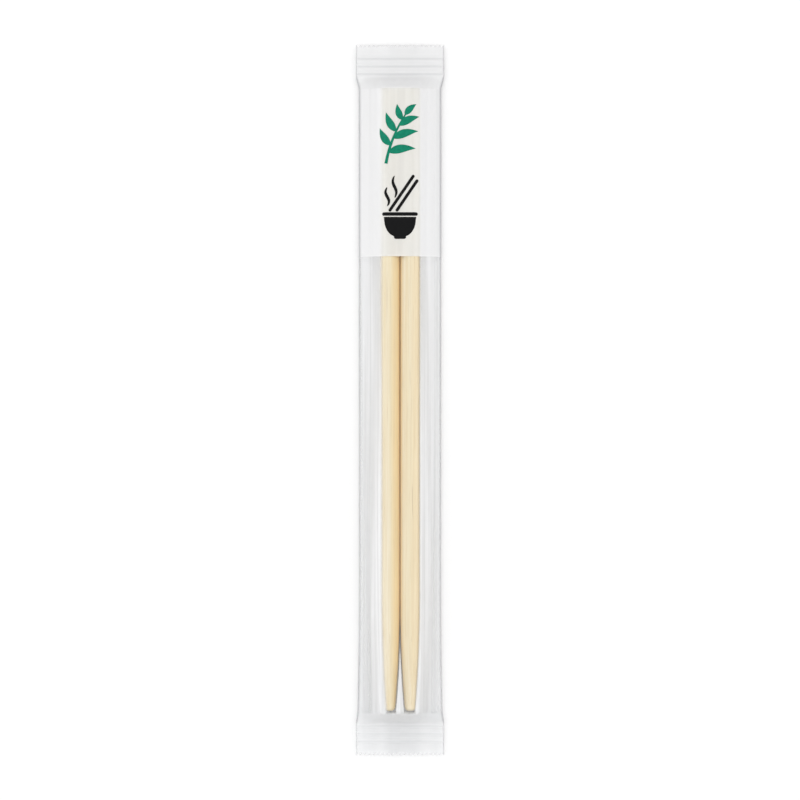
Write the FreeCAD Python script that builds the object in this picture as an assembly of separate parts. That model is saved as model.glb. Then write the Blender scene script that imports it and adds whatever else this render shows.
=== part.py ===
"""A single-use pair of round bamboo chopsticks, sealed side by side in a sleeve of clear film.

Sizes are in millimetres. The pack lies flat: X runs across it, Y runs along it towards the sticks'
blunt heads, and Z is up. The origin is the middle of the pack, on the surface that it lies on.
"""

import FreeCAD, Part
import math
import os

from FreeCAD import Vector

# Chopsticks
STICK_LENGTH = 195.0
STICK_DIAMETER = 6.4
TIP_DIAMETER = 3.4
TAPER_LENGTH = 36.0
HEAD_ROUNDING = 0.5
TIP_ROUNDING = 1.2
STICK_GAP = 0.1

# Film and the room that it leaves round the sticks
FILM_THICKNESS = 0.12
FILM_CLEARANCE = 0.1
END_PLAY = 0.3

# Sleeve over the sticks
MARGIN_WIDTH = 6.35
FOLD_LIP = 1.0
FOLD_HEIGHT = 1.1

# End seals: a tent of film closes down to each, and three crimped ribs run across it
TENT_LENGTH = 4.1
RIB_COUNT = 3
RIB_PITCH = 2.4
RIB_WIDTH = 1.4
RIB_HEIGHT = 0.3
SEAL_BORDER = 2.9
TOOTH_PITCH = 1.4
TOOTH_DEPTH = 0.7

# Lengthwise seam, folded over flat under the sleeve
SEAM_WIDTH = 9.0
SEAM_FOLD = 0.6
SEAM_GAP = 0.1

# Fineness of the model
TAPER_STEPS = 6
CLOSED_HEIGHT = 0.02

# Worked out from the sizes above
STICK_RADIUS = STICK_DIAMETER / 2
TIP_RADIUS = TIP_DIAMETER / 2
STICK_PITCH = STICK_DIAMETER + STICK_GAP
SEAM_THICKNESS = 2 * FILM_THICKNESS
WEB_BOTTOM = SEAM_THICKNESS + SEAM_GAP
AXIS_HEIGHT = WEB_BOTTOM + FILM_THICKNESS + FILM_CLEARANCE + STICK_RADIUS
SLEEVE_WIDTH = STICK_PITCH + STICK_DIAMETER + 2 * MARGIN_WIDTH
HEAD_Y = STICK_LENGTH / 2
TIP_Y = -STICK_LENGTH / 2
SHOULDER_Y = TIP_Y + TAPER_LENGTH
SEAL_Y = HEAD_Y + TENT_LENGTH
SEAL_LENGTH = RIB_COUNT * RIB_PITCH + SEAL_BORDER


def stick_radius(y):
    """Radius of a stick at y: the shank's, then an arc's that leaves the shank at a tangent."""
    run = SHOULDER_Y - y
    if run <= 0:
        return STICK_RADIUS
    drop = STICK_RADIUS - TIP_RADIUS
    arc_radius = (TAPER_LENGTH**2 + drop**2) / (2 * drop)
    return STICK_RADIUS - arc_radius + math.sqrt(arc_radius**2 - min(run, TAPER_LENGTH) ** 2)


def chopstick(x):
    """One stick, turned about its own axis: flat head, straight shank, long taper and blunt tip."""
    half_way = TIP_Y + TAPER_LENGTH / 2
    head_centre = Vector(0, HEAD_Y, 0)
    head_rim = Vector(STICK_RADIUS, HEAD_Y, 0)
    shoulder = Vector(STICK_RADIUS, SHOULDER_Y, 0)
    tip_rim = Vector(TIP_RADIUS, TIP_Y, 0)
    tip_centre = Vector(0, TIP_Y, 0)
    taper = Part.Arc(shoulder, Vector(stick_radius(half_way), half_way, 0), tip_rim)
    profile = [
        Part.LineSegment(head_centre, head_rim).toShape(),
        Part.LineSegment(head_rim, shoulder).toShape(),
        taper.toShape(),
        Part.LineSegment(tip_rim, tip_centre).toShape(),
        Part.LineSegment(tip_centre, head_centre).toShape(),
    ]
    stick = Part.Face(Part.Wire(profile)).revolve(Vector(0, 0, 0), Vector(0, 1, 0), 360)
    for end_y, rounding in ((HEAD_Y, HEAD_ROUNDING), (TIP_Y, TIP_ROUNDING)):
        rims = [e for e in stick.Edges if e.isClosed() and abs(e.CenterOfMass.y - end_y) < 0.001]
        stick = stick.makeFillet(rounding, rims)
    stick.translate(Vector(x, 0, AXIS_HEIGHT))
    return stick


def half_web(lip, radius, side):
    """The right half of one web of film, over the sticks (side 1) or under them (side -1).

    It is straight from the lip at the side fold to the circle round the stick, which it meets at a
    tangent, and follows that circle to its crown. The points are (x, z) pairs.
    """
    centre_x = STICK_PITCH / 2
    reach = math.hypot(lip[0] - centre_x, lip[1] - AXIS_HEIGHT)
    towards_lip = math.atan2(lip[1] - AXIS_HEIGHT, lip[0] - centre_x)
    touch = towards_lip + side * math.acos(radius / reach)
    crown = side * math.pi / 2

    def on_circle(angle):
        return (centre_x + radius * math.cos(angle), AXIS_HEIGHT + radius * math.sin(angle))

    points = [lip, on_circle(touch), on_circle((touch + crown) / 2), on_circle(crown)]
    flank = math.sqrt(reach**2 - radius**2)
    wrap = radius * abs(crown - touch)
    return points, flank, wrap


def girth(lip_x, radius):
    """Length of film once round the section whose side folds start at lip_x."""
    total = 4 * FOLD_LIP
    for side, web_radius in ((1, radius), (-1, STICK_RADIUS + FILM_CLEARANCE)):
        flank, wrap = half_web((lip_x, FOLD_HEIGHT), web_radius, side)[1:]
        total += 2 * (flank + wrap) + STICK_PITCH
    return total


def lip_position(radius):
    """Where the side folds start, so that the film keeps its girth where the sticks are thinner."""
    low = STICK_PITCH / 2 + STICK_RADIUS + FILM_CLEARANCE
    high = SLEEVE_GIRTH / 4
    while high - low > 0.0001:
        middle = (low + high) / 2
        if girth(middle, radius) < SLEEVE_GIRTH:
            low = middle
        else:
            high = middle
    return low


SLEEVE_GIRTH = girth(SLEEVE_WIDTH / 2 - FOLD_LIP, STICK_RADIUS + FILM_CLEARANCE)
SEAL_WIDTH = SLEEVE_GIRTH / 2


def ring(y, over, under, lip_x, skin):
    """Closed wire of a section from the right halves of its two webs; skin is 0 for the inside."""
    lips = []
    if skin:
        edge_x = lip_x + FOLD_LIP
        lips = [(edge_x, FOLD_HEIGHT + skin), (edge_x, FOLD_HEIGHT - skin)]
    mirrored_over = [(-x, z) for x, z in reversed(over)]
    mirrored_under = [(-x, z) for x, z in under]
    mirrored_lips = [(-x, z) for x, z in lips]
    stretches = [
        over[:2],
        over[1:],
        [over[-1], mirrored_over[0]],
        mirrored_over[:3],
        mirrored_over[2:],
        [mirrored_over[-1]] + mirrored_lips[:1],
        mirrored_lips,
        mirrored_lips[1:] + [mirrored_under[0]],
        mirrored_under[:2],
        mirrored_under[1:],
        [mirrored_under[-1], under[-1]],
        under[:0:-1],
        under[1::-1],
        [under[0]] + lips[1:],
        lips[::-1],
        lips[:1] + [over[0]],
    ]
    edges = []
    for stretch in stretches:
        points = [Vector(x, y, z) for x, z in stretch]
        if len(points) == 3 and not collinear(points):
            edges.append(Part.Arc(*points).toShape())
        elif len(points) >= 2:
            edges.append(Part.LineSegment(points[0], points[-1]).toShape())
    return Part.Wire(edges)


def collinear(points):
    first = points[1].sub(points[0])
    second = points[2].sub(points[1])
    return first.cross(second).Length < 1e-6


def section_over_sticks(y, skin):
    """Section of the sleeve where the sticks are; the web over them follows their taper."""
    radius = stick_radius(y) + FILM_CLEARANCE
    lip_x = lip_position(radius)
    over = half_web((lip_x, FOLD_HEIGHT + skin), radius + skin, 1)[0]
    under = half_web((lip_x, FOLD_HEIGHT - skin), STICK_RADIUS + FILM_CLEARANCE + skin, -1)[0]
    return ring(y, over, under, lip_x, skin)


def section_at_seal(y, end_y, skin):
    """The same film pressed flat where a seal starts, so that each tent's corners run to its own."""
    lip_x = SEAL_WIDTH / 2 - FOLD_LIP
    rise = skin or CLOSED_HEIGHT / 2
    webs = []
    for side, radius in ((1, stick_radius(end_y)), (-1, STICK_RADIUS)):
        flank, wrap = half_web((lip_position(radius + FILM_CLEARANCE), FOLD_HEIGHT), radius, side)[1:]
        whole = flank + wrap + STICK_PITCH / 2
        stops = (STICK_PITCH / 2 + wrap, (STICK_PITCH + wrap) / 2, STICK_PITCH / 2)
        z = FOLD_HEIGHT + side * rise
        points = [(lip_x * stop / whole, z) for stop in stops]
        webs.append([(lip_x, FOLD_HEIGHT + side * skin)] + points)
    return ring(y, webs[0], webs[1], lip_x, skin)


def tube(skin):
    """Solid of the sleeve's outside (skin is the film's thickness) or of the space in it (skin 0)."""
    head_end = HEAD_Y + END_PLAY
    tip_end = TIP_Y - END_PLAY
    sections = [
        section_at_seal(SEAL_Y, head_end, skin),
        section_over_sticks(head_end, skin),
    ]
    for step in range(TAPER_STEPS + 1):
        y = SHOULDER_Y + (tip_end - SHOULDER_Y) * step / TAPER_STEPS
        sections.append(section_over_sticks(y, skin))
    sections.append(section_at_seal(-SEAL_Y, tip_end, skin))
    return Part.makeLoft(sections, True, True)


def seal_profile(top):
    """Side view of a crimped seal, two films thick, from its tent outwards; top is its upper face."""
    bottom = top - 2 * FILM_THICKNESS
    faces = []
    for z in (top, bottom):
        edges = []
        last = Vector(0, SEAL_Y, z)
        for rib in range(RIB_COUNT):
            middle = SEAL_Y + (rib + 0.5) * RIB_PITCH
            start = Vector(0, middle - RIB_WIDTH / 2, z)
            ridge = Vector(0, middle, z + RIB_HEIGHT)
            end = Vector(0, middle + RIB_WIDTH / 2, z)
            edges.append(Part.LineSegment(last, start).toShape())
            edges.append(Part.Arc(start, ridge, end).toShape())
            last = end
        outer_end = Vector(0, SEAL_Y + SEAL_LENGTH, z)
        edges.append(Part.LineSegment(last, outer_end).toShape())
        faces.append(edges)
    inner = Part.LineSegment(Vector(0, SEAL_Y, bottom), Vector(0, SEAL_Y, top)).toShape()
    outer_y = SEAL_Y + SEAL_LENGTH
    outer = Part.LineSegment(Vector(0, outer_y, top), Vector(0, outer_y, bottom)).toShape()
    return Part.Face(Part.Wire([inner] + faces[0] + [outer] + faces[1][::-1]))


def teeth():
    """Plate that leaves a zigzag edge where it is cut away from a seal's outer end."""
    outer_y = SEAL_Y + SEAL_LENGTH
    count = math.ceil(SEAL_WIDTH / TOOTH_PITCH / 2) + 1
    points = []
    for tooth in range(-count, count + 1):
        points.append(Vector(tooth * TOOTH_PITCH, outer_y, 0))
        points.append(Vector((tooth + 0.5) * TOOTH_PITCH, outer_y - TOOTH_DEPTH, 0))
    beyond = outer_y + TOOTH_DEPTH
    points.append(Vector(points[-1].x, beyond, 0))
    points.append(Vector(points[0].x, beyond, 0))
    plate = Part.Face(Part.makePolygon(points + points[:1]))
    return plate.extrude(Vector(0, 0, FOLD_HEIGHT + RIB_HEIGHT + 2 * FILM_THICKNESS))


def head_seal():
    """Crimped seal at the head end, with the seam's two layers pressed under the sleeve's two."""
    top = FOLD_HEIGHT + FILM_THICKNESS
    layers = seal_profile(top).extrude(Vector(SEAL_WIDTH, 0, 0))
    layers.translate(Vector(-SEAL_WIDTH / 2, 0, 0))
    seam_layers = seal_profile(top - 2 * FILM_THICKNESS).extrude(Vector(SEAM_WIDTH, 0, 0))
    seam_layers.translate(Vector(-STICK_PITCH / 2, 0, 0))
    return layers.fuse(seam_layers).cut(teeth())


def seam_section(y, bottom, web):
    """The seam's two layers, joined to the web above them by a narrow fold along one edge."""
    left = -STICK_PITCH / 2
    top = bottom + SEAM_THICKNESS
    corners = [
        (left, bottom),
        (left + SEAM_WIDTH, bottom),
        (left + SEAM_WIDTH, top),
        (left + SEAM_FOLD, top),
        (left + SEAM_FOLD, web + FILM_THICKNESS / 2),
        (left, web + FILM_THICKNESS / 2),
    ]
    points = [Vector(x, y, z) for x, z in corners]
    return Part.makePolygon(points + points[:1])


def seam():
    web_at_seal = FOLD_HEIGHT - FILM_THICKNESS
    at_seal = (web_at_seal - SEAM_THICKNESS, web_at_seal)
    stations = [
        (SEAL_Y,) + at_seal,
        (HEAD_Y + END_PLAY, 0, WEB_BOTTOM),
        (TIP_Y - END_PLAY, 0, WEB_BOTTOM),
        (-SEAL_Y,) + at_seal,
    ]
    return Part.makeLoft([seam_section(*station) for station in stations], True, True)


def film_sleeve():
    """The sleeve is one folded and sealed sheet, so it is one solid with the sticks' space in it."""
    seal = head_seal()
    tip_seal = seal.mirror(Vector(0, 0, 0), Vector(0, 1, 0))
    outside = tube(FILM_THICKNESS).fuse([seal, tip_seal, seam()]).removeSplitter()
    return outside.cut(tube(0))


def main():
    nodes = {
        "film_sleeve": film_sleeve(),
        "left_chopstick": chopstick(-STICK_PITCH / 2),
        "right_chopstick": chopstick(STICK_PITCH / 2),
    }
    os.makedirs("parts", exist_ok=True)
    for name, shape in nodes.items():
        print(name, shape.isValid(), len(shape.Solids), round(shape.Volume, 3), shape.BoundBox)
        shape.exportStep(f"parts/{name}.step")


main()
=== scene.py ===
"""Looks of a film-wrapped pair of bamboo chopsticks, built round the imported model.

The pack lies flat and the camera looks straight down on it, with the sticks' heads towards the top of
the picture. Lengths are in metres, but the print is drawn and the materials measure in millimetres. The
film's sleeve, its seam and the print are modelled here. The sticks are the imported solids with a
procedural bamboo.
"""

import math

import bmesh
import bpy
import numpy as np
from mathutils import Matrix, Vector
from mathutils.bvhtree import BVHTree


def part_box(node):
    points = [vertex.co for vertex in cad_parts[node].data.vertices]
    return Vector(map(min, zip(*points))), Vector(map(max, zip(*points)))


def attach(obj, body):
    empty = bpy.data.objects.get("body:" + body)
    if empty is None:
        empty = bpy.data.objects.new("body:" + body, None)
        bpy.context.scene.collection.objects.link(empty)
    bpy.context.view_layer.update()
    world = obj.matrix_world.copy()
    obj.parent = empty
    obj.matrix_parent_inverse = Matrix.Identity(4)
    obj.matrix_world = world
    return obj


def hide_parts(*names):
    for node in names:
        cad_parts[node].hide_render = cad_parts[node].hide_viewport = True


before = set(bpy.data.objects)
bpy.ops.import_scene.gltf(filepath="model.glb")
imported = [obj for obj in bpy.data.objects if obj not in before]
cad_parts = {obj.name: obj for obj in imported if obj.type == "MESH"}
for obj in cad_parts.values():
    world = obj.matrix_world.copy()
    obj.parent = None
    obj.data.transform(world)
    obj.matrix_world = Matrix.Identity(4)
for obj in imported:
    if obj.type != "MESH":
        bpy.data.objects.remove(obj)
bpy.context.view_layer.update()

MM = 0.001

# Film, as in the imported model
FILM_THICKNESS = 0.12 * MM
FILM_CLEARANCE = 0.1 * MM
END_PLAY = 0.3 * MM
FOLD_HEIGHT = 1.1 * MM
TENT_LENGTH = 4.1 * MM
RIB_COUNT = 3
RIB_PITCH = 2.4 * MM
RIB_WIDTH = 1.4 * MM
RIB_HEIGHT = 0.3 * MM
TOOTH_PITCH = 1.4 * MM
TOOTH_DEPTH = 0.7 * MM
TAPER_LENGTH = 36 * MM
TIP_RADIUS = 1.7 * MM
SEAM_WIDTH = 9 * MM
SEAM_GAP = 0.1 * MM

# How limp the film looks; a pitch is given across the pack and along it
RIPPLE_HEIGHT = 0.12 * MM  # lengthwise, in the free margins
RIPPLE_PITCH = (5 * MM, 160 * MM)
GATHER_HEIGHT = 0.22 * MM  # short ones that run in from the seals
GATHER_PITCH = (3.6 * MM, 60 * MM)
GATHER_REACH = 8 * MM
SEAL_WAVE = 0.1 * MM
SEAL_WAVE_PITCH = (13 * MM, 70 * MM)
SEAM_CURL = 0.03 * MM
SEAM_CURL_PITCH = (9 * MM, 45 * MM)
SEAM_CRIMP_PITCH = 1.2 * MM
UNDER_SHARE = 0.3  # of the ripples and gathers, on the web that lies down

# Print
PRINT_LENGTH = 52.5 * MM  # from the sticks' heads down
INK_ROWS = 9
INK_LIFT = 0.02 * MM
INK_STEP = 0.004 * MM  # from each patch to the next, which may overlap it

# Places read from the imported model
SLEEVE_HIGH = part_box("film_sleeve")[1]
STICK_LOW, STICK_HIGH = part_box("right_chopstick")
STICK_RADIUS = (STICK_HIGH.x - STICK_LOW.x) / 2
AXIS_X = (STICK_HIGH.x + STICK_LOW.x) / 2
AXIS_Z = (STICK_HIGH.z + STICK_LOW.z) / 2
HEAD_Y = STICK_HIGH.y
TIP_Y = STICK_LOW.y
END_Y = SLEEVE_HIGH.y
SEAL_HALF_WIDTH = SLEEVE_HIGH.x
SEAL_Y = HEAD_Y + TENT_LENGTH
SHOULDER_Y = TIP_Y + TAPER_LENGTH
WEB_RADIUS = STICK_RADIUS + FILM_CLEARANCE + FILM_THICKNESS / 2
PRINT_EDGE_Y = HEAD_Y - PRINT_LENGTH

# Fineness of the film's mesh
TOOTH_COUNT = round(2 * SEAL_HALF_WIDTH / TOOTH_PITCH)
ACROSS = 4 * TOOTH_COUNT
BODY_STEP = 1.0 * MM
TENT_STEPS = 12
SEAL_STEPS = 42
INNER_MARGIN = 0.05 * MM  # that the space inside keeps from the seals
LEAST_HALF_HEIGHT = 0.002 * MM  # of that space
MERGE_REACH = 0.002 * MM

# Colours
CREAM = (0.87, 0.79, 0.61, 1)
STRAW = (0.84, 0.73, 0.49, 1)
TAN = (0.74, 0.58, 0.33, 1)
BROWN = (0.45, 0.29, 0.12, 1)
# Golden of painted shade, for the sticks' shaded flanks and the gap between them
SHADE_GOLD = (0.90, 0.66, 0.30, 1)
CLEAR_TINT = (0.985, 0.99, 1, 1)
PRINT_WHITE = (0.94, 0.94, 0.945, 1)
PRINT_ON_STICKS = (0.96, 0.95, 0.91, 1)
# Grey for painted shade on the side folds and crimp lines, partly the film's haze there, and for the darker
# streaks
HAZE_AND_SHADE_GREY = (0.48, 0.49, 0.51, 1)
INK_GREEN = (0.006, 0.24, 0.14, 1)
INK_BLACK = (0.004, 0.004, 0.0045, 1)
FLOOR_COLOUR = (0.95, 0.95, 0.955, 1)
FLOOR_SEEN = (1, 1, 1, 1)  # by the camera and in gloss

# How much of the film is milky: over the sticks, beside them, in the margins, in the tents and seals. The
# thicker veil beside the sticks is partly painted light, lifting the shade that falls next to them.
CLEAR_VEILS = (0.03, 0.58, 0.38, 0.46)
PRINT_VEILS = (0.66, 0.8, 0.74, 0.74)

# Camera and light
CAMERA_LENS = 150
CAMERA_HEIGHT = 1.05
WORLD_LEVEL = 0.8
FLOOR_REACH = 6.0
TRANSPARENT_BOUNCES = 48
LAMPS = {  # place, width, height and watts
    "head_lamp": ((-0.15, 0.5, 0.9), 0.5, 0.5, 1.4),
    "foot_lamp": ((-0.15, -0.5, 0.9), 0.5, 0.5, 0.8),
    "left_lamp": ((-0.85, 0.0, 0.36), 0.4, 0.8, 1.0),
    "right_lamp": ((0.85, 0.0, 0.36), 0.4, 0.8, 1.0),
}


def stick_radius(y):
    """Radius of a stick at y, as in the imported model."""
    run = np.clip(SHOULDER_Y - y, 0, TAPER_LENGTH)
    drop = STICK_RADIUS - TIP_RADIUS
    arc_radius = (TAPER_LENGTH**2 + drop**2) / (2 * drop)
    return STICK_RADIUS - arc_radius + np.sqrt(arc_radius**2 - run**2)


def half_web(edge_x, radius, side):
    """Lengths of one half of a web: bridge between the sticks, wrap round one, flank to the fold."""
    reach = math.hypot(edge_x - AXIS_X, FOLD_HEIGHT - AXIS_Z)
    touch = math.atan2(FOLD_HEIGHT - AXIS_Z, edge_x - AXIS_X) + side * math.acos(radius / reach)
    wrap = radius * abs(side * math.pi / 2 - touch)
    flank = math.sqrt(reach**2 - radius**2)
    return touch, wrap, flank


def fold_edge(over_radius):
    """Half width of the sleeve that keeps the film's girth round sticks of this radius."""
    low = AXIS_X + WEB_RADIUS
    high = SEAL_HALF_WIDTH
    for _ in range(30):
        middle = (low + high) / 2
        length = 2 * AXIS_X
        for radius, side in ((over_radius, 1), (WEB_RADIUS, -1)):
            touch, wrap, flank = half_web(middle, radius, side)
            length += wrap + flank
        if length < 2 * SEAL_HALF_WIDTH:
            low = middle
        else:
            high = middle
    return low


def web_section(edge_x, radius, side, shares):
    """x and z of a web at shares from -1 to 1 of its half length, from the left fold to the right."""
    touch, wrap, flank = half_web(edge_x, radius, side)
    crown = side * math.pi / 2
    along = np.abs(shares) * (AXIS_X + wrap + flank)
    turned = np.clip(along - AXIS_X, 0, wrap) / radius
    angle = crown - side * turned
    x = np.minimum(along, AXIS_X) + radius * (np.cos(angle) - math.cos(crown))
    z = AXIS_Z + radius * np.sin(angle)
    run = np.clip(along - AXIS_X - wrap, 0, flank) / flank
    touch_x = AXIS_X + radius * math.cos(touch)
    touch_z = AXIS_Z + radius * math.sin(touch)
    x = np.where(run > 0, touch_x + run * (edge_x - touch_x), x)
    z = np.where(run > 0, touch_z + run * (FOLD_HEIGHT - touch_z), z)
    return np.sign(shares) * x, z


def waves(x, y, pitch, seed, count):
    """Smooth random field between about -1 and 1, from plane waves near the pitch across and along."""
    pitch_x, pitch_y = pitch
    draw = np.random.default_rng(seed)
    total = np.zeros(np.broadcast(x, y).shape)
    for _ in range(count):
        across = 2 * math.pi / (pitch_x * draw.uniform(0.7, 1.6))
        along = 2 * math.pi / (pitch_y * draw.uniform(0.7, 1.6))
        total += np.sin(across * x * draw.choice((-1, 1)) + along * y + draw.uniform(0, 2 * math.pi))
    return total / math.sqrt(count)


def smooth(value, start, end):
    t = np.clip((value - start) / (end - start), 0, 1)
    return t * t * (3 - 2 * t)


def stations():
    """Places along the sleeve, closer together in the tents and seals, with one on the print's edge."""
    tent = np.linspace(0, TENT_LENGTH - END_PLAY, TENT_STEPS + 1)
    seal = np.linspace(0, END_Y - SEAL_Y, SEAL_STEPS + 1)[1:]
    body = [
        np.arange(TIP_Y - END_PLAY, PRINT_EDGE_Y - BODY_STEP / 2, BODY_STEP),
        np.arange(PRINT_EDGE_Y, HEAD_Y + END_PLAY - BODY_STEP / 2, BODY_STEP),
    ]
    rising = HEAD_Y + END_PLAY + tent
    falling = TIP_Y - END_PLAY - tent[::-1]
    return np.concatenate([-SEAL_Y - seal[::-1], falling[:-1], *body, rising, SEAL_Y + seal])


def closed_share(y):
    """How far the sleeve has closed at y, from 0 beside the sticks to 1 in the seals."""
    start = HEAD_Y + END_PLAY
    straight = np.clip((np.abs(y) - start) / (SEAL_Y - start), 0, 1)
    return (straight + smooth(np.abs(y), start, SEAL_Y)) / 2


def rib_rise(y):
    """Height of the crimped ribs, which arch up across both seals."""
    out = np.abs(y) - SEAL_Y
    rise = np.zeros_like(y)
    for rib in range(RIB_COUNT):
        offset = (out - (rib + 0.5) * RIB_PITCH) / (RIB_WIDTH / 2)
        rise += RIB_HEIGHT * np.clip(1 - offset**2, 0, None)
    return rise


def seal_rise(x, y):
    """Height that both webs gain in the seals: the ribs, and a slow wave towards the cut."""
    swell = smooth(np.abs(y), SEAL_Y, END_Y)
    return rib_rise(y) + SEAL_WAVE * swell * waves(x, y, SEAL_WAVE_PITCH, seed=31, count=4)


def film_grid(shares, ys):
    """Middle surfaces of the upper and lower webs, as two arrays of points [station, share, xyz]."""
    webs = []
    for side in (1, -1):
        grid = np.zeros((len(ys), len(shares), 3))
        flat_z = FOLD_HEIGHT + side * FILM_THICKNESS / 2
        for row, y in enumerate(ys):
            over_radius = float(stick_radius(y)) + WEB_RADIUS - STICK_RADIUS
            radius = over_radius if side == 1 else WEB_RADIUS
            x, z = web_section(fold_edge(over_radius), radius, side, shares)
            closed = closed_share(y)
            grid[row, :, 0] = (1 - closed) * x + closed * shares * SEAL_HALF_WIDTH
            grid[row, :, 1] = y
            grid[row, :, 2] = (1 - closed) * z + closed * flat_z
        webs.append(grid)
    return webs


def crease(webs, shares, ys):
    """Ripples along the free margins and gathers in from the seals, alike on both webs."""
    share = np.abs(shares)[None, :]
    x = shares[None, :] * SEAL_HALF_WIDTH
    y = ys[:, None]
    room = smooth(webs[0][:, :, 2] - webs[1][:, :, 2], 0, 3 * MM)
    inward = 1 - smooth(share, 0.9, 1.0)
    free = smooth(share, 0.45, 0.62) * inward
    tent = smooth(np.abs(y), HEAD_Y + END_PLAY, HEAD_Y + 6 * END_PLAY) * inward
    distance = np.clip(SEAL_Y - np.abs(y), 0, None)
    ripples = RIPPLE_HEIGHT * free * waves(x, y, RIPPLE_PITCH, seed=12, count=5)
    gathers = GATHER_HEIGHT * np.exp(-distance / GATHER_REACH) * waves(x, y, GATHER_PITCH, seed=21, count=5)
    lift = room * (ripples + np.maximum(free, tent) * gathers)
    webs[0][:, :, 2] += lift + seal_rise(x, y)
    webs[1][:, :, 2] += UNDER_SHARE * lift + seal_rise(x, y)


def cut_teeth(grid):
    """Draws the seals' outer rows back to the serrated cut."""
    x = grid[:, :, 0]
    y = grid[:, :, 1]
    phase = (x / (2 * SEAL_HALF_WIDTH) * TOOTH_COUNT) % 1
    notch = TOOTH_DEPTH * (1 - 2 * np.abs(phase - 0.5))
    outer = np.clip((np.abs(y) - (END_Y - 2 * TOOTH_DEPTH)) / (2 * TOOTH_DEPTH), 0, 1)
    grid[:, :, 1] = y - np.sign(y) * outer * notch


def normals_of(grid):
    along = np.gradient(grid, axis=0)
    across = np.gradient(grid, axis=1)
    normal = np.cross(across, along)
    return normal / np.maximum(np.linalg.norm(normal, axis=2, keepdims=True), 1e-12)


def ring_rows(over, under):
    """Joins an upper and a lower web into closed rings, from the right fold over to the left and back."""
    return np.concatenate([over[:, ::-1], under[:, 1:-1]], axis=1)


def tube_faces(rows, around, start, inward):
    """Quads of a closed tube of rings, with its two ends closed web to web."""
    faces = []
    for row in range(rows - 1):
        for i in range(around):
            j = (i + 1) % around
            a = start + row * around
            b = a + around
            faces.append((a + i, a + j, b + j, b + i))
    for row, last in ((0, False), (rows - 1, True)):
        a = start + row * around
        for i in range(around // 2):
            quad = (a + i, a + (around - i) % around, a + around - i - 1, a + i + 1)
            corners = tuple(dict.fromkeys(quad))
            faces.append(corners[::-1] if last else corners)
    return faces if inward else [face[::-1] for face in faces]


def make_mesh(name, vertices, faces):
    mesh = bpy.data.meshes.new(name)
    mesh.from_pydata([tuple(v) for v in vertices], [], faces)
    mesh.update()
    mesh.validate()
    for polygon in mesh.polygons:
        polygon.use_smooth = True
    piece = bpy.data.objects.new(name, mesh)
    bpy.context.scene.collection.objects.link(piece)
    return piece


def skin(webs, offset):
    """Both webs, moved off the middle of the film and joined in the side folds."""
    upper = webs[0] + offset * normals_of(webs[0])
    lower = webs[1] - offset * normals_of(webs[1])
    folds = (upper[:, [0, -1]] + lower[:, [0, -1]]) / 2
    upper[:, [0, -1]] = folds
    lower[:, [0, -1]] = folds
    return upper, lower


def inner_skin(webs, ys):
    """Walls of the space inside, which ends at the seals and stays open by a hair."""
    within = np.abs(ys) < SEAL_Y - INNER_MARGIN
    upper, lower = (web[within] for web in skin(webs, -FILM_THICKNESS / 2))
    middle = (upper[:, :, 2] + lower[:, :, 2]) / 2
    upper[:, :, 2] = np.maximum(upper[:, :, 2], middle + LEAST_HALF_HEIGHT)
    lower[:, :, 2] = np.minimum(lower[:, :, 2], middle - LEAST_HALF_HEIGHT)
    upper[:, [0, -1], 0] -= np.sign(upper[:, [0, -1], 0]) * 2 * FILM_THICKNESS
    lower[:, [0, -1]] = upper[:, [0, -1]]
    return upper, lower


def sleeve():
    """The sleeve as a closed thin wall: an outer skin that runs on into the seals, and an inner skin."""
    shares = np.linspace(-1, 1, ACROSS + 1)
    ys = stations()
    webs = film_grid(shares, ys)
    crease(webs, shares, ys)
    outside = skin(webs, FILM_THICKNESS / 2)
    for web in outside:
        cut_teeth(web)
    outer = ring_rows(*outside)
    inner = ring_rows(*inner_skin(webs, ys))
    around = outer.shape[1]
    vertices = np.concatenate([outer.reshape(-1, 3), inner.reshape(-1, 3)])
    faces = tube_faces(len(outer), around, 0, False)
    faces += tube_faces(len(inner), around, outer.shape[0] * around, True)
    return make_mesh("clear_sleeve", vertices, faces)


def seam():
    """The lengthwise seam: a flat double strip under the sleeve, with its ends rising to the seals."""
    columns = np.linspace(0, 1, 13)
    thickness = 2 * FILM_THICKNESS
    ys = stations()
    ys = ys[np.abs(ys) < END_Y - TOOTH_DEPTH]
    x = -AXIS_X + columns[None, :] * SEAM_WIDTH
    y = ys[:, None]
    closed = closed_share(y)
    lower = np.zeros((len(ys), len(columns), 3))
    lower[:, :, 0] = x
    lower[:, :, 1] = y
    wavy = 1 + waves(x, y, SEAM_CURL_PITCH, seed=41, count=6)
    curl = SEAM_CURL * (1 - closed) * columns[None, :] ** 2 * wavy
    sealed_z = FOLD_HEIGHT - FILM_THICKNESS - thickness
    lower[:, :, 2] = np.maximum(curl, 0) + closed * sealed_z + seal_rise(x, y)
    upper = lower + np.array([0, 0, thickness])
    upper[:, 0, 2] += SEAM_GAP
    rings = np.concatenate([upper[:, ::-1], lower], axis=1)
    return make_mesh("back_seam", rings.reshape(-1, 3), tube_faces(len(rings), rings.shape[1], 0, False))


def ribbon(spine, width):
    """The two edges of a band of this width about a spine, each a row of points."""
    along = np.gradient(spine, axis=0)
    along /= np.linalg.norm(along, axis=1, keepdims=True)
    normal = np.stack([-along[:, 1], along[:, 0]], axis=1)
    half = normal * width[:, None] / 2
    return spine - half, spine + half


def bar(start, end, width):
    """A straight band with round ends."""
    start, end = np.array(start), np.array(end)
    length = np.linalg.norm(end - start)
    along = length * (1 - np.cos(np.linspace(0, math.pi, 33))) / 2
    from_end = np.minimum(along, length - along)
    inside = np.clip(1 - 2 * from_end / width, 0, 1)
    spine = start + np.outer(along / length, end - start)
    return ribbon(spine, width * np.sqrt(1 - inside**2))


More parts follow.
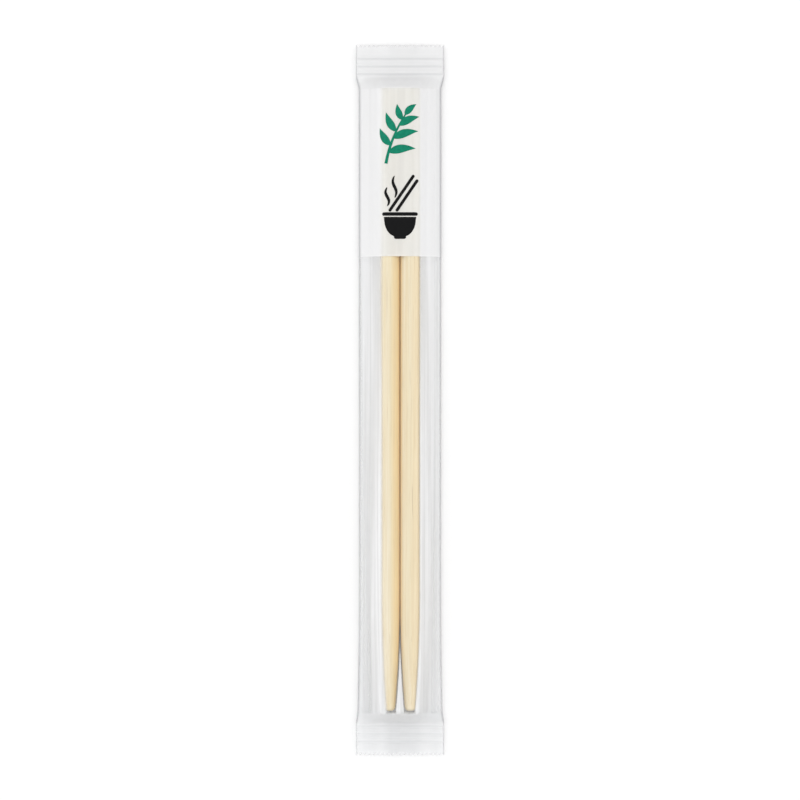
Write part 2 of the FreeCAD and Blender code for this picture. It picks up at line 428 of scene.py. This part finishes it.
def leaf(root, degrees, length, width):
    """A pointed leaf that bends a little towards its left side."""
    along = np.linspace(0, 1, 21)
    direction = np.array([math.cos(math.radians(degrees)), math.sin(math.radians(degrees))])
    left = np.array([-direction[1], direction[0]])
    bend = 0.07 * length * np.sin(math.pi * along)
    spine = np.array(root) + np.outer(along * length, direction) + np.outer(bend, left)
    return ribbon(spine, width * np.sin(math.pi * along**0.75))


def wisp(x, low, high, sway, width):
    """A thin wavy band that narrows to both ends."""
    along = np.linspace(0, 1, 25)
    spine = np.stack([x + sway * np.sin(2 * math.pi * along), low + along * (high - low)], axis=1)
    return ribbon(spine, width * np.sqrt(np.sin(math.pi * along)))


def sprig():
    """A plain leafy sprig in millimetres: a bent stem with leaves at its joints."""
    foot, bend, top = np.array((-4.4, 74.0)), np.array((-3.0, 82.0)), np.array((1.8, 89.5))

    def on_stem(t):
        return (1 - t) ** 2 * foot + 2 * t * (1 - t) * bend + t**2 * top

    stem = np.array([on_stem(t) for t in np.linspace(0, 1, 25)])
    outlines = [ribbon(stem, np.linspace(1.0, 0.5, 25))]
    leaves = (
        (0.22, 8, 8.6),
        (0.36, 122, 6.4),
        (0.5, 16, 8.2),
        (0.64, 118, 6.8),
        (0.76, 24, 7.0),
        (0.88, 108, 5.2),
        (0.98, 44, 4.9),
    )
    for t, degrees, length in leaves:
        outlines.append(leaf(on_stem(t), degrees, length, 0.17 * length + 1.2))
    return outlines


def bowl_and_sticks():
    """A plain picture in millimetres: a bowl with two sticks laid on it and steam over it."""
    rim_y, half, depth = 58.2, 5.1, 6.3
    across = np.linspace(-1, 1, 33)
    rim = np.stack([half * across, np.full_like(across, rim_y - 0.9)], axis=1)
    belly = rim - np.outer(depth * np.sqrt(np.clip(1 - np.abs(across) ** 2.6, 0, 1)), (0, 1))
    foot = bar((-1.9, rim_y - 0.9 - depth), (1.9, rim_y - 0.9 - depth), 1.2)
    lip = bar((-half - 0.5, rim_y), (half + 0.5, rim_y), 1.1)
    sticks = [bar((-3.4, rim_y + 0.8), (4.4, 70.4), 0.95), bar((-1.2, rim_y + 0.8), (5.6, 69.0), 0.95)]
    steam = [wisp(-4.0, 60.6, 66.6, 0.55, 0.95), wisp(-1.7, 63.2, 70.2, 0.55, 0.95)]
    return [(belly, rim), foot, lip] + sticks + steam


def patch_faces(rows, columns, start):
    """Faces of a thin closed patch: its top, its back, whose points follow the top's, and its rim."""
    layer = rows * columns
    faces = []
    for row in range(rows - 1):
        for column in range(columns - 1):
            a = start + row * columns + column
            quad = (a, a + 1, a + columns + 1, a + columns)
            faces.append(quad)
            faces.append(tuple(i + layer for i in reversed(quad)))
    rim = [(0, c) for c in range(columns)]
    rim += [(r, columns - 1) for r in range(1, rows)]
    rim += [(rows - 1, c) for c in range(columns - 2, -1, -1)]
    rim += [(r, 0) for r in range(rows - 2, 0, -1)]
    for (row_a, column_a), (row_b, column_b) in zip(rim, rim[1:] + rim[:1]):
        a = start + row_a * columns + column_a
        b = start + row_b * columns + column_b
        faces.append((b, a, a + layer, b + layer))
    return faces


def ink(name, outlines, film, material):
    """Thin printed patches, laid over the film between the two edges of each outline."""
    tree = BVHTree.FromObject(film, bpy.context.evaluated_depsgraph_get())
    shares = np.linspace(0, 1, INK_ROWS)[:, None, None]
    vertices, faces = [], []
    for number, (lower, upper) in enumerate(outlines):
        grid = lower + shares * (upper - lower)
        faces += patch_faces(*grid.shape[:2], len(vertices))
        for lift in (INK_LIFT + number * INK_STEP, -INK_LIFT / 2):
            for x, y in grid.reshape(-1, 2) * MM:
                hit = tree.ray_cast(Vector((x, y, 2 * SLEEVE_HIGH.z)), Vector((0, 0, -1)))[0]
                vertices.append((x, y, hit.z + lift))
    piece = make_mesh(name, vertices, faces)
    merge_points(piece.data)
    piece.data.materials.append(material)
    return piece


def merge_points(mesh):
    """Merges points that coincide, and takes out the empty faces where an outline runs to a point."""
    shape = bmesh.new()
    shape.from_mesh(mesh)
    bmesh.ops.remove_doubles(shape, verts=shape.verts, dist=MERGE_REACH)
    bmesh.ops.dissolve_degenerate(shape, edges=shape.edges, dist=MERGE_REACH / 2)
    shape.to_mesh(mesh)
    shape.free()


class Nodes:
    """Short calls that add shader nodes to one material and link them up."""

    def __init__(self, name):
        self.material = bpy.data.materials.new(name)
        self.material.use_nodes = True
        self.tree = self.material.node_tree
        self.shader = self.tree.nodes["Principled BSDF"]

    def put(self, socket, value):
        if isinstance(value, bpy.types.NodeSocket):
            self.tree.links.new(value, socket)
        else:
            socket.default_value = value

    def set(self, **values):
        for name, value in values.items():
            self.put(self.shader.inputs[name.replace("_", " ")], value)

    def math(self, operation, first, second=0.0, clamp=False):
        node = self.tree.nodes.new("ShaderNodeMath")
        node.operation = operation
        node.use_clamp = clamp
        self.put(node.inputs[0], first)
        self.put(node.inputs[1], second)
        return node.outputs[0]

    def place(self, scale):
        """Object coordinates, as a vector of this many steps to the millimetre along x, y and z."""
        coordinates = self.tree.nodes.new("ShaderNodeTexCoord")
        mapping = self.tree.nodes.new("ShaderNodeMapping")
        mapping.inputs["Scale"].default_value = [step / MM for step in scale]
        self.put(mapping.inputs["Vector"], coordinates.outputs["Object"])
        return mapping.outputs[0]

    def axis(self, letter):
        """One object coordinate in millimetres."""
        split = self.tree.nodes.new("ShaderNodeSeparateXYZ")
        self.put(split.inputs[0], self.place((1, 1, 1)))
        return split.outputs[letter]

    def noise(self, scale, detail=3.0, roughness=0.5):
        node = self.tree.nodes.new("ShaderNodeTexNoise")
        self.put(node.inputs["Vector"], self.place(scale))
        self.put(node.inputs["Scale"], 1.0)
        self.put(node.inputs["Detail"], detail)
        self.put(node.inputs["Roughness"], roughness)
        return node.outputs[0]

    def span(self, value, low, high, to_low=0.0, to_high=1.0, shape="SMOOTHSTEP"):
        """Smooth or straight step of a value between two limits."""
        node = self.tree.nodes.new("ShaderNodeMapRange")
        node.interpolation_type = shape
        for socket, number in zip(node.inputs, (value, low, high, to_low, to_high)):
            self.put(socket, number)
        return node.outputs[0]

    def mix(self, share, first, second):
        node = self.tree.nodes.new("ShaderNodeMix")
        node.data_type = "RGBA"
        self.put(node.inputs["Factor"], share)
        colours = [socket for socket in node.inputs if socket.type == "RGBA"]
        self.put(colours[0], first)
        self.put(colours[1], second)
        return next(socket for socket in node.outputs if socket.type == "RGBA")

    def glancing(self, power):
        """From 0 where the surface is seen square on to 1 along it, alike from both sides."""
        node = self.tree.nodes.new("ShaderNodeLayerWeight")
        return self.math("POWER", node.outputs["Facing"], power)

    def bump(self, height, strength, distance):
        node = self.tree.nodes.new("ShaderNodeBump")
        self.put(node.inputs["Height"], height)
        self.put(node.inputs["Strength"], strength)
        self.put(node.inputs["Distance"], distance)
        self.set(Normal=node.outputs[0])


def bamboo_material():
    """Pale bamboo with soft bands, fine fibres and thin darker vessels, and painted golden shade on each
    right flank, deepest across the gap between the sticks.
    """
    nodes = Nodes("bamboo")
    bands = nodes.span(nodes.noise((0.3, 0.004, 0.3), detail=2), 0.3, 0.7)
    fibres = nodes.span(nodes.noise((2.6, 0.03, 2.6), detail=4, roughness=0.6), 0.36, 0.66)
    vessels = nodes.span(nodes.noise((4.6, 0.05, 4.6), detail=2), 0.63, 0.73)
    across = nodes.axis("X")
    # Painted shade: golden over the left stick's right flank and the gap between the sticks, and a little
    # over the right stick's right flank
    left_valley_shade = nodes.span(across, -3.2, -1.2, 0, nodes.span(across, 0.1, 0.9, 0.75, 0))
    right_flank_shade = nodes.span(across, 2.6, 5.2, 0, 0.35)
    painted_shade = nodes.math("MAXIMUM", left_valley_shade, right_flank_shade)
    ground = nodes.mix(bands, CREAM, STRAW)
    golden = nodes.mix(painted_shade, ground, SHADE_GOLD)
    grained = nodes.mix(nodes.math("MULTIPLY", fibres, 0.4), golden, TAN)
    colour = nodes.mix(nodes.math("MULTIPLY", vessels, 0.4), grained, BROWN)
    nodes.set(Base_Color=colour, Roughness=nodes.span(fibres, 0, 1, 0.42, 0.58))
    nodes.bump(fibres, 0.3, 0.03 * MM)
    return nodes.material


def crimp_shade_lines(nodes, out):
    """Narrow lines of painted shade along the foot of each rib, from how far out in the seal a place is."""
    step = nodes.math("DIVIDE", out, RIB_PITCH / MM)
    offset = nodes.math("ABSOLUTE", nodes.math("SUBTRACT", nodes.math("FRACT", step), 0.4))
    strength = nodes.span(step, 0, 0.05, 0, nodes.span(step, RIB_COUNT - 0.05, RIB_COUNT, 1, 0))
    return nodes.span(offset, 0.04, 0.22, strength, 0)


def places_on_film(nodes):
    """Distances in mm: beyond the pair, in between the sticks, out from the seal's start, off the fold."""
    x = nodes.math("ABSOLUTE", nodes.axis("X"))
    y = nodes.axis("Y")
    run = nodes.span(y, TIP_Y / MM, SHOULDER_Y / MM, 1, 0, "LINEAR")
    narrowed = nodes.math("POWER", run, 2)
    radius = nodes.span(narrowed, 0, 1, STICK_RADIUS / MM, TIP_RADIUS / MM, "LINEAR")
    off_axis = nodes.math("SUBTRACT", x, AXIS_X / MM)
    beyond = nodes.math("SUBTRACT", off_axis, radius)
    between = nodes.math("SUBTRACT", nodes.math("MULTIPLY", off_axis, -1), radius)
    out = nodes.math("SUBTRACT", nodes.math("ABSOLUTE", y), SEAL_Y / MM)
    tip_edge = fold_edge(WEB_RADIUS - STICK_RADIUS + TIP_RADIUS)
    fold_x = nodes.span(narrowed, 0, 1, fold_edge(WEB_RADIUS) / MM, tip_edge / MM, "LINEAR")
    fold_x = nodes.span(out, (END_PLAY - TENT_LENGTH) / MM, 0, fold_x, SEAL_HALF_WIDTH / MM)
    return beyond, between, out, nodes.math("SUBTRACT", x, fold_x)


def film_material(name, on_sticks, colour, veils, *, rise, streak_depth, roughness):
    """Film whose veil is thinnest over the sticks, with soft streaks of uneven haze and painted light, and
    with painted shade greying its folds, where the double film's haze adds to it, and its crimp lines.

    The veils are those over the sticks, beside them, in the margins and in the tents and seals. The last
    one is reached over a rise of so many millimetres from the sticks' ends.
    """
    over_sticks, beside_sticks, in_margins, in_ends = veils
    nodes = Nodes(name)
    beyond, between, out, from_fold = places_on_film(nodes)
    ended = nodes.span(out, -TENT_LENGTH / MM, rise - TENT_LENGTH / MM)
    # The veil reaches 1.7 mm over the left stick's outer edge but 0.7 mm over the right one's: the extra on
    # the left is a painted sheen, as of film catching light from the left
    veil_and_sheen_from = nodes.span(nodes.axis("X"), -1, 1, -1.7, -0.7)
    margin = nodes.math("MAXIMUM", nodes.span(beyond, veil_and_sheen_from, 0.4), nodes.span(between, 0.1, 0.6))
    margin = nodes.math("MAXIMUM", margin, ended)
    # Soft lengthwise streaks in the veil and its grey: partly the film's uneven haze, partly painted light
    # and shade in bands along the margins
    streaks = nodes.span(nodes.noise((0.35, 0.006, 0.35), detail=2), 0.3, 0.7)
    # Thicker veil beside the sticks, thinning into the margins: partly painted light over the shade next to
    # the sticks
    free = nodes.span(beyond, 1, 4, beside_sticks, in_margins)
    body = nodes.span(margin, 0, 1, over_sticks, free)
    body = nodes.math("MULTIPLY", body, nodes.span(streaks, 0, 1, 1 - streak_depth, 1 + streak_depth))
    glare = nodes.math("MULTIPLY", nodes.glancing(4), 0.3)
    nodes.set(Alpha=nodes.math("ADD", nodes.span(ended, 0, 1, body, in_ends), glare, clamp=True))

    # Painted shade greying the film along its side folds, partly the double film's haze there; it is
    # lighter in the seals
    fold = nodes.span(from_fold, -0.9, 0, 0, nodes.span(out, -0.6, 0.2, 0.7, 0.25))
    # Painted shade along the foot of each crimped rib
    painted_crimp_shade = nodes.math("MULTIPLY", crimp_shade_lines(nodes, out), 0.22)
    grey = nodes.math("MAXIMUM", fold, painted_crimp_shade)
    grey = nodes.math("MAXIMUM", grey, nodes.span(streaks, 0, 1, 0.25 * streak_depth, 0))
    nodes.set(Base_Color=nodes.mix(grey, nodes.mix(margin, on_sticks, colour), HAZE_AND_SHADE_GREY))
    nodes.set(Roughness=roughness, IOR=1.5, Specular_IOR_Level=0.8)
    nodes.bump(nodes.noise((0.22, 0.012, 0.22), detail=2), 0.15, 0.05 * MM)
    return nodes.material


def seam_material():
    """The seam's two layers of film: an even, milkier veil with fine crimp lines of painted shade across
    it.
    """
    nodes = Nodes("seam_film")
    half_pitch = SEAM_CRIMP_PITCH / MM / 2
    from_line = nodes.math("PINGPONG", nodes.axis("Y"), half_pitch)
    lines = nodes.span(from_line, 0, half_pitch, 0.3, 0)
    nodes.set(Base_Color=nodes.mix(lines, CLEAR_TINT, HAZE_AND_SHADE_GREY), Alpha=0.3)
    nodes.set(Roughness=0.2, IOR=1.5, Specular_IOR_Level=0.8)
    return nodes.material


def ink_material(name, colour):
    """Gravure ink with a fine mottle."""
    nodes = Nodes(name)
    mottle = nodes.span(nodes.noise((1.2, 1.2, 1.2)), 0.3, 0.7)
    denser = [0.8 * part for part in colour[:3]] + [1]
    nodes.set(Base_Color=nodes.mix(mottle, colour, denser), Roughness=nodes.span(mottle, 0, 1, 0.42, 0.5))
    nodes.set(Specular_IOR_Level=0.1)
    return nodes.material


def dress(piece, clear, printed):
    """Clear film below the print's edge, and white printed film above it."""
    piece.data.materials.append(clear)
    piece.data.materials.append(printed)
    for polygon in piece.data.polygons:
        polygon.material_index = int(polygon.center.y > PRINT_EDGE_Y)


def dress_sticks():
    bamboo = bamboo_material()
    for name in ("left_chopstick", "right_chopstick"):
        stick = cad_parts[name]
        stick.data.materials.clear()
        stick.data.materials.append(bamboo)


def add_film():
    clear = film_material(
        "clear_film", CLEAR_TINT, CLEAR_TINT, CLEAR_VEILS, rise=1.8, streak_depth=0.3, roughness=0.16
    )
    printed = film_material(
        "printed_film", PRINT_ON_STICKS, PRINT_WHITE, PRINT_VEILS, rise=0.4, streak_depth=0.04, roughness=0.28
    )
    film = sleeve()
    dress(film, clear, printed)
    strip = seam()
    dress(strip, seam_material(), printed)
    green = ink("green_print", sprig(), film, ink_material("green_ink", INK_GREEN))
    black = ink("black_print", bowl_and_sticks(), film, ink_material("black_ink", INK_BLACK))
    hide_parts("film_sleeve")
    for piece in (film, strip, green, black):
        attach(piece, "root")


def add_camera():
    """Straight above the pack, with the sticks' heads towards the top of the picture."""
    data = bpy.data.cameras.new("camera")
    data.lens = CAMERA_LENS
    data.clip_end = 50
    camera = bpy.data.objects.new("camera", data)
    bpy.context.scene.collection.objects.link(camera)
    camera.location = (0, 0, CAMERA_HEIGHT)
    bpy.context.scene.camera = camera


def add_lamp(name, place, width, height, watts):
    data = bpy.data.lights.new(name, "AREA")
    data.shape = "RECTANGLE"
    data.size = width
    data.size_y = height
    data.energy = watts
    lamp = bpy.data.objects.new(name, data)
    lamp.location = place
    lamp.rotation_euler = (-Vector(place)).to_track_quat("-Z", "Y").to_euler()
    lamp.visible_camera = False
    bpy.context.scene.collection.objects.link(lamp)


def seen_as_background(tree):
    """1 for the camera's rays and for those that gloss and glass send on, 0 for those that light things."""
    path = tree.nodes.new("ShaderNodeLightPath")
    seen = path.outputs["Is Camera Ray"]
    for name in ("Is Glossy Ray", "Is Transmission Ray"):
        either = tree.nodes.new("ShaderNodeMath")
        either.operation = "MAXIMUM"
        tree.links.new(seen, either.inputs[0])
        tree.links.new(path.outputs[name], either.inputs[1])
        seen = either.outputs[0]
    return seen


def add_floor():
    """A plain floor that lights as pale paper and shows as white, with the pack's shadow."""
    reach = FLOOR_REACH
    corners = [(-reach, -reach, 0), (reach, -reach, 0), (reach, reach, 0), (-reach, reach, 0)]
    floor = make_mesh("floor", corners, [(0, 1, 2, 3)])
    nodes = Nodes("pale_floor")
    nodes.set(Base_Color=nodes.mix(seen_as_background(nodes.tree), FLOOR_COLOUR, FLOOR_SEEN), Roughness=0.9)
    floor.data.materials.append(nodes.material)


def add_world():
    """An even studio that lights at its own level and shows as white."""
    world = bpy.data.worlds.new("studio")
    world.use_nodes = True
    tree = world.node_tree
    level = tree.nodes.new("ShaderNodeMapRange")
    level.inputs["To Min"].default_value = WORLD_LEVEL
    level.inputs["To Max"].default_value = 1.0
    background = tree.nodes["Background"]
    background.inputs["Color"].default_value = (1, 1, 1, 1)
    tree.links.new(seen_as_background(tree), level.inputs["Value"])
    tree.links.new(level.outputs["Result"], background.inputs["Strength"])
    bpy.context.scene.world = world


dress_sticks()
add_film()
add_camera()
add_floor()
add_world()
for name, lamp in LAMPS.items():
    add_lamp(name, *lamp)
bpy.context.scene.view_settings.view_transform = "Standard"
bpy.context.scene.cycles.transparent_max_bounces = TRANSPARENT_BOUNCES
